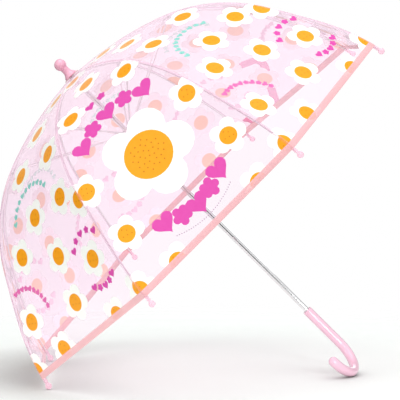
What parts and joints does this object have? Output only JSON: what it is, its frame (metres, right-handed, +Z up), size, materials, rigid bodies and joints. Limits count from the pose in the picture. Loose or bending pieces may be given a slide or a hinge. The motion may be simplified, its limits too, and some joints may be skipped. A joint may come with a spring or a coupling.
{
  "type": "children's umbrella",
  "caption": "Dome umbrella of clear printed film on hinged ribs, with a sliding runner, a steel shaft and a J handle, lying open on two rib tips and its hook.",
  "frame": {"origin": "middle of the underside of the box round the umbrella as it lies open on a floor", "axes": "+Z up from the floor; the shaft lies in the XZ plane, with the crown towards -X and up and the handle towards +X and down; Y runs across the canopy, and the hook points to -Y"},
  "size_m": [0.5454, 0.6762, 0.5459],
  "materials": {
    "film": "clear pink film, gloss",
    "hem_tape": "satin tape",
    "handle": "gloss",
    "ferrule": "gloss",
    "tip": "gloss",
    "shaft": "polished",
    "spring_steel": "satin",
    "rib": "satin",
    "nylon": "satin"
  },
  "bodies": {
    "root": {"shaft": "shaft", "handle": "handle", "ferrule": "ferrule", "crown_washer": "film", "top_notch": "nylon", "notch_wire": "spring_steel", "stop_pin": "spring_steel"},
    "runner": {"runner": "nylon"},
    "top_catch": {"top_catch": "spring_steel"},
    "bottom_catch": {"bottom_catch": "spring_steel"},
    "upper_rib_0": {"upper_rib_0": "rib"},
    "lower_rib_0": {"lower_rib_0": "rib", "rib_tip_0": "tip"},
    "stretcher_0": {"stretcher_0": "rib"},
    "upper_rib_1": {"upper_rib_1": "rib"},
    "lower_rib_1": {"lower_rib_1": "rib", "rib_tip_1": "tip"},
    "stretcher_1": {"stretcher_1": "rib"},
    "upper_rib_2": {"upper_rib_2": "rib"},
    "lower_rib_2": {"lower_rib_2": "rib", "rib_tip_2": "tip"},
    "stretcher_2": {"stretcher_2": "rib"},
    "upper_rib_3": {"upper_rib_3": "rib"},
    "lower_rib_3": {"lower_rib_3": "rib", "rib_tip_3": "tip"},
    "stretcher_3": {"stretcher_3": "rib"},
    "upper_rib_4": {"upper_rib_4": "rib"},
    "lower_rib_4": {"lower_rib_4": "rib", "rib_tip_4": "tip"},
    "stretcher_4": {"stretcher_4": "rib"},
    "upper_rib_5": {"upper_rib_5": "rib"},
    "lower_rib_5": {"lower_rib_5": "rib", "rib_tip_5": "tip"},
    "stretcher_5": {"stretcher_5": "rib"},
    "upper_rib_6": {"upper_rib_6": "rib"},
    "lower_rib_6": {"lower_rib_6": "rib", "rib_tip_6": "tip"},
    "stretcher_6": {"stretcher_6": "rib"},
    "upper_rib_7": {"upper_rib_7": "rib"},
    "lower_rib_7": {"lower_rib_7": "rib", "rib_tip_7": "tip"},
    "stretcher_7": {"stretcher_7": "rib"},
    "upper_panel_0": {"upper_panel_0": "film"},
    "lower_panel_0": {"lower_panel_0": "film"},
    "upper_panel_1": {"upper_panel_1": "film"},
    "lower_panel_1": {"lower_panel_1": "film"},
    "upper_panel_2": {"upper_panel_2": "film"},
    "lower_panel_2": {"lower_panel_2": "film"},
    "upper_panel_3": {"upper_panel_3": "film"},
    "lower_panel_3": {"lower_panel_3": "film"},
    "upper_panel_4": {"upper_panel_4": "film"},
    "lower_panel_4": {"lower_panel_4": "film", "closing_strap": "hem_tape", "strap_stud": "hem_tape"},
    "upper_panel_5": {"upper_panel_5": "film"},
    "lower_panel_5": {"lower_panel_5": "film"},
    "upper_panel_6": {"upper_panel_6": "film"},
    "lower_panel_6": {"lower_panel_6": "film"},
    "upper_panel_7": {"upper_panel_7": "film"},
    "lower_panel_7": {"lower_panel_7": "film"}
  },
  "joints": [
    {"name": "runner_slide", "type": "slide", "parent": "root", "child": "runner", "axis": [0.7077, 0, -0.7065], "range_m": [0, 0.236]},
    {"name": "top_catch_press", "type": "slide", "parent": "root", "child": "top_catch", "axis": [0, 1, 0], "range_m": [0, 0.0023], "stiffness_N_per_m": 600},
    {"name": "bottom_catch_press", "type": "slide", "parent": "root", "child": "bottom_catch", "axis": [0, 1, 0], "range_m": [0, 0.0023], "stiffness_N_per_m": 600},
    {"name": "upper_rib_0_hinge", "type": "hinge", "parent": "root", "child": "upper_rib_0", "pos_m": [-0.17089, -0.00344, 0.43196], "axis": [0.2704, -0.9239, 0.2708], "range_deg": [0, 75.9]},
    {"name": "lower_rib_0_hinge", "type": "hinge", "parent": "upper_rib_0", "child": "lower_rib_0", "pos_m": [-0.25423, -0.066, 0.30175], "axis": [0.2704, -0.9239, 0.2708], "range_deg": [-38.1, 0]},
    {"name": "stretcher_0_hinge", "type": "hinge", "parent": "upper_rib_0", "child": "stretcher_0", "pos_m": [-0.25423, -0.066, 0.30175], "axis": [0.2704, -0.9239, 0.2708], "range_deg": [-138.24, 0]},
    {"name": "upper_rib_1_hinge", "type": "hinge", "parent": "root", "child": "upper_rib_1", "pos_m": [-0.16745, -0.00831, 0.43541], "axis": [0.6527, -0.3827, 0.6538], "range_deg": [0, 75.9]},
    {"name": "lower_rib_1_hinge", "type": "hinge", "parent": "upper_rib_1", "child": "lower_rib_1", "pos_m": [-0.18829, -0.15934, 0.36781], "axis": [0.6527, -0.3827, 0.6538], "range_deg": [-38.1, 0]},
    {"name": "stretcher_1_hinge", "type": "hinge", "parent": "upper_rib_1", "child": "stretcher_1", "pos_m": [-0.18829, -0.15934, 0.36781], "axis": [0.6527, -0.3827, 0.6538], "range_deg": [-138.24, 0]},
    {"name": "upper_rib_2_hinge", "type": "hinge", "parent": "root", "child": "upper_rib_2", "pos_m": [-0.16258, -0.00831, 0.44028], "axis": [0.6527, 0.3827, 0.6538], "range_deg": [0, 75.9]},
    {"name": "lower_rib_2_hinge", "type": "hinge", "parent": "upper_rib_2", "child": "lower_rib_2", "pos_m": [-0.09503, -0.15934, 0.46124], "axis": [0.6527, 0.3827, 0.6538], "range_deg": [-38.1, 0]},
    {"name": "stretcher_2_hinge", "type": "hinge", "parent": "upper_rib_2", "child": "stretcher_2", "pos_m": [-0.09503, -0.15934, 0.46124], "axis": [0.6527, 0.3827, 0.6538], "range_deg": [-138.24, 0]},
    {"name": "upper_rib_3_hinge", "type": "hinge", "parent": "root", "child": "upper_rib_3", "pos_m": [-0.15914, -0.00344, 0.44373], "axis": [0.2704, 0.9239, 0.2708], "range_deg": [0, 75.9]},
    {"name": "lower_rib_3_hinge", "type": "hinge", "parent": "upper_rib_3", "child": "lower_rib_3", "pos_m": [-0.02908, -0.066, 0.5273], "axis": [0.2704, 0.9239, 0.2708], "range_deg": [-38.1, 0]},
    {"name": "stretcher_3_hinge", "type": "hinge", "parent": "upper_rib_3", "child": "stretcher_3", "pos_m": [-0.02908, -0.066, 0.5273], "axis": [0.2704, 0.9239, 0.2708], "range_deg": [-138.24, 0]},
    {"name": "upper_rib_4_hinge", "type": "hinge", "parent": "root", "child": "upper_rib_4", "pos_m": [-0.15914, 0.00344, 0.44373], "axis": [-0.2704, 0.9239, -0.2708], "range_deg": [0, 75.9]},
    {"name": "lower_rib_4_hinge", "type": "hinge", "parent": "upper_rib_4", "child": "lower_rib_4", "pos_m": [-0.02908, 0.066, 0.5273], "axis": [-0.2704, 0.9239, -0.2708], "range_deg": [-38.1, 0]},
    {"name": "stretcher_4_hinge", "type": "hinge", "parent": "upper_rib_4", "child": "stretcher_4", "pos_m": [-0.02908, 0.066, 0.5273], "axis": [-0.2704, 0.9239, -0.2708], "range_deg": [-138.24, 0]},
    {"name": "upper_rib_5_hinge", "type": "hinge", "parent": "root", "child": "upper_rib_5", "pos_m": [-0.16258, 0.00831, 0.44028], "axis": [-0.6527, 0.3827, -0.6538], "range_deg": [0, 75.9]},
    {"name": "lower_rib_5_hinge", "type": "hinge", "parent": "upper_rib_5", "child": "lower_rib_5", "pos_m": [-0.09503, 0.15934, 0.46124], "axis": [-0.6527, 0.3827, -0.6538], "range_deg": [-38.1, 0]},
    {"name": "stretcher_5_hinge", "type": "hinge", "parent": "upper_rib_5", "child": "stretcher_5", "pos_m": [-0.09503, 0.15934, 0.46124], "axis": [-0.6527, 0.3827, -0.6538], "range_deg": [-138.24, 0]},
    {"name": "upper_rib_6_hinge", "type": "hinge", "parent": "root", "child": "upper_rib_6", "pos_m": [-0.16745, 0.00831, 0.43541], "axis": [-0.6527, -0.3827, -0.6538], "range_deg": [0, 75.9]},
    {"name": "lower_rib_6_hinge", "type": "hinge", "parent": "upper_rib_6", "child": "lower_rib_6", "pos_m": [-0.18829, 0.15934, 0.36781], "axis": [-0.6527, -0.3827, -0.6538], "range_deg": [-38.1, 0]},
    {"name": "stretcher_6_hinge", "type": "hinge", "parent": "upper_rib_6", "child": "stretcher_6", "pos_m": [-0.18829, 0.15934, 0.36781], "axis": [-0.6527, -0.3827, -0.6538], "range_deg": [-138.24, 0]},
    {"name": "upper_rib_7_hinge", "type": "hinge", "parent": "root", "child": "upper_rib_7", "pos_m": [-0.17089, 0.00344, 0.43196], "axis": [-0.2704, -0.9239, -0.2708], "range_deg": [0, 75.9]},
    {"name": "lower_rib_7_hinge", "type": "hinge", "parent": "upper_rib_7", "child": "lower_rib_7", "pos_m": [-0.25423, 0.066, 0.30175], "axis": [-0.2704, -0.9239, -0.2708], "range_deg": [-38.1, 0]},
    {"name": "stretcher_7_hinge", "type": "hinge", "parent": "upper_rib_7", "child": "stretcher_7", "pos_m": [-0.25423, 0.066, 0.30175], "axis": [-0.2704, -0.9239, -0.2708], "range_deg": [-138.24, 0]},
    {"name": "upper_panel_0_hinge", "type": "hinge", "parent": "root", "child": "upper_panel_0", "pos_m": [-0.16951, -0.00636, 0.43334], "axis": [0.4996, -0.7071, 0.5004], "range_deg": [0, 75.9], "deforming": ["upper_panel_0"]},
    {"name": "lower_panel_0_hinge", "type": "hinge", "parent": "upper_panel_0", "child": "lower_panel_0", "pos_m": [-0.22424, -0.11355, 0.33652], "axis": [0.4996, -0.7071, 0.5004], "range_deg": [-38.1, 0], "deforming": ["lower_panel_0"]},
    {"name": "upper_panel_1_hinge", "type": "hinge", "parent": "root", "child": "upper_panel_1", "pos_m": [-0.16501, -0.009, 0.43784], "axis": [0.7065, 0, 0.7077], "range_deg": [0, 75.9], "deforming": ["upper_panel_1"]},
    {"name": "lower_panel_1_hinge", "type": "hinge", "parent": "upper_panel_1", "child": "lower_panel_1", "pos_m": [-0.14402, -0.16059, 0.41688], "axis": [0.7065, 0, 0.7077], "range_deg": [-38.1, 0], "deforming": ["lower_panel_1"]},
    {"name": "upper_panel_2_hinge", "type": "hinge", "parent": "root", "child": "upper_panel_2", "pos_m": [-0.16052, -0.00636, 0.44235], "axis": [0.4996, 0.7071, 0.5004], "range_deg": [0, 75.9], "deforming": ["upper_panel_2"]},
    {"name": "lower_panel_2_hinge", "type": "hinge", "parent": "upper_panel_2", "child": "lower_panel_2", "pos_m": [-0.06379, -0.11355, 0.49725], "axis": [0.4996, 0.7071, 0.5004], "range_deg": [-38.1, 0], "deforming": ["lower_panel_2"]},
    {"name": "upper_panel_3_hinge", "type": "hinge", "parent": "root", "child": "upper_panel_3", "pos_m": [-0.15866, 0, 0.44421], "axis": [0, 1, 0], "range_deg": [0, 75.9], "deforming": ["upper_panel_3"]},
    {"name": "lower_panel_3_hinge", "type": "hinge", "parent": "upper_panel_3", "child": "lower_panel_3", "pos_m": [-0.03056, 0, 0.53054], "axis": [0, 1, 0], "range_deg": [-38.1, 0], "deforming": ["lower_panel_3"]},
    {"name": "upper_panel_4_hinge", "type": "hinge", "parent": "root", "child": "upper_panel_4", "pos_m": [-0.16052, 0.00636, 0.44235], "axis": [-0.4996, 0.7071, -0.5004], "range_deg": [0, 75.9], "deforming": ["upper_panel_4"]},
    {"name": "lower_panel_4_hinge", "type": "hinge", "parent": "upper_panel_4", "child": "lower_panel_4", "pos_m": [-0.06379, 0.11355, 0.49725], "axis": [-0.4996, 0.7071, -0.5004], "range_deg": [-38.1, 0], "deforming": ["lower_panel_4", "closing_strap", "strap_stud"]},
    {"name": "upper_panel_5_hinge", "type": "hinge", "parent": "root", "child": "upper_panel_5", "pos_m": [-0.16501, 0.009, 0.43784], "axis": [-0.7065, 0, -0.7077], "range_deg": [0, 75.9], "deforming": ["upper_panel_5"]},
    {"name": "lower_panel_5_hinge", "type": "hinge", "parent": "upper_panel_5", "child": "lower_panel_5", "pos_m": [-0.14402, 0.16059, 0.41688], "axis": [-0.7065, 0, -0.7077], "range_deg": [-38.1, 0], "deforming": ["lower_panel_5"]},
    {"name": "upper_panel_6_hinge", "type": "hinge", "parent": "root", "child": "upper_panel_6", "pos_m": [-0.16951, 0.00636, 0.43334], "axis": [-0.4996, -0.7071, -0.5004], "range_deg": [0, 75.9], "deforming": ["upper_panel_6"]},
    {"name": "lower_panel_6_hinge", "type": "hinge", "parent": "upper_panel_6", "child": "lower_panel_6", "pos_m": [-0.22424, 0.11355, 0.33652], "axis": [-0.4996, -0.7071, -0.5004], "range_deg": [-38.1, 0], "deforming": ["lower_panel_6"]},
    {"name": "upper_panel_7_hinge", "type": "hinge", "parent": "root", "child": "upper_panel_7", "pos_m": [-0.17137, 0, 0.43147], "axis": [0, -1, 0], "range_deg": [0, 75.9], "deforming": ["upper_panel_7"]},
    {"name": "lower_panel_7_hinge", "type": "hinge", "parent": "upper_panel_7", "child": "lower_panel_7", "pos_m": [-0.25748, 0, 0.30323], "axis": [0, -1, 0], "range_deg": [-38.1, 0], "deforming": ["lower_panel_7"]}
  ],
  "couplings": [
    {"joint": "upper_rib_0_hinge", "follows": "runner_slide", "rad_per_m": 5.6132},
    {"joint": "lower_rib_0_hinge", "follows": "runner_slide", "rad_per_m": -2.8177},
    {"joint": "stretcher_0_hinge", "follows": "runner_slide", "rad_per_m": -10.223},
    {"joint": "upper_rib_1_hinge", "follows": "runner_slide", "rad_per_m": 5.6132},
    {"joint": "lower_rib_1_hinge", "follows": "runner_slide", "rad_per_m": -2.8177},
    {"joint": "stretcher_1_hinge", "follows": "runner_slide", "rad_per_m": -10.223},
    {"joint": "upper_rib_2_hinge", "follows": "runner_slide", "rad_per_m": 5.6132},
    {"joint": "lower_rib_2_hinge", "follows": "runner_slide", "rad_per_m": -2.8177},
    {"joint": "stretcher_2_hinge", "follows": "runner_slide", "rad_per_m": -10.223},
    {"joint": "upper_rib_3_hinge", "follows": "runner_slide", "rad_per_m": 5.6132},
    {"joint": "lower_rib_3_hinge", "follows": "runner_slide", "rad_per_m": -2.8177},
    {"joint": "stretcher_3_hinge", "follows": "runner_slide", "rad_per_m": -10.223},
    {"joint": "upper_rib_4_hinge", "follows": "runner_slide", "rad_per_m": 5.6132},
    {"joint": "lower_rib_4_hinge", "follows": "runner_slide", "rad_per_m": -2.8177},
    {"joint": "stretcher_4_hinge", "follows": "runner_slide", "rad_per_m": -10.223},
    {"joint": "upper_rib_5_hinge", "follows": "runner_slide", "rad_per_m": 5.6132},
    {"joint": "lower_rib_5_hinge", "follows": "runner_slide", "rad_per_m": -2.8177},
    {"joint": "stretcher_5_hinge", "follows": "runner_slide", "rad_per_m": -10.223},
    {"joint": "upper_rib_6_hinge", "follows": "runner_slide", "rad_per_m": 5.6132},
    {"joint": "lower_rib_6_hinge", "follows": "runner_slide", "rad_per_m": -2.8177},
    {"joint": "stretcher_6_hinge", "follows": "runner_slide", "rad_per_m": -10.223},
    {"joint": "upper_rib_7_hinge", "follows": "runner_slide", "rad_per_m": 5.6132},
    {"joint": "lower_rib_7_hinge", "follows": "runner_slide", "rad_per_m": -2.8177},
    {"joint": "stretcher_7_hinge", "follows": "runner_slide", "rad_per_m": -10.223},
    {"joint": "upper_panel_0_hinge", "follows": "runner_slide", "rad_per_m": 5.6132},
    {"joint": "lower_panel_0_hinge", "follows": "runner_slide", "rad_per_m": -2.8177},
    {"joint": "upper_panel_1_hinge", "follows": "runner_slide", "rad_per_m": 5.6132},
    {"joint": "lower_panel_1_hinge", "follows": "runner_slide", "rad_per_m": -2.8177},
    {"joint": "upper_panel_2_hinge", "follows": "runner_slide", "rad_per_m": 5.6132},
    {"joint": "lower_panel_2_hinge", "follows": "runner_slide", "rad_per_m": -2.8177},
    {"joint": "upper_panel_3_hinge", "follows": "runner_slide", "rad_per_m": 5.6132},
    {"joint": "lower_panel_3_hinge", "follows": "runner_slide", "rad_per_m": -2.8177},
    {"joint": "upper_panel_4_hinge", "follows": "runner_slide", "rad_per_m": 5.6132},
    {"joint": "lower_panel_4_hinge", "follows": "runner_slide", "rad_per_m": -2.8177},
    {"joint": "upper_panel_5_hinge", "follows": "runner_slide", "rad_per_m": 5.6132},
    {"joint": "lower_panel_5_hinge", "follows": "runner_slide", "rad_per_m": -2.8177},
    {"joint": "upper_panel_6_hinge", "follows": "runner_slide", "rad_per_m": 5.6132},
    {"joint": "lower_panel_6_hinge", "follows": "runner_slide", "rad_per_m": -2.8177},
    {"joint": "upper_panel_7_hinge", "follows": "runner_slide", "rad_per_m": 5.6132},
    {"joint": "lower_panel_7_hinge", "follows": "runner_slide", "rad_per_m": -2.8177}
  ]
}
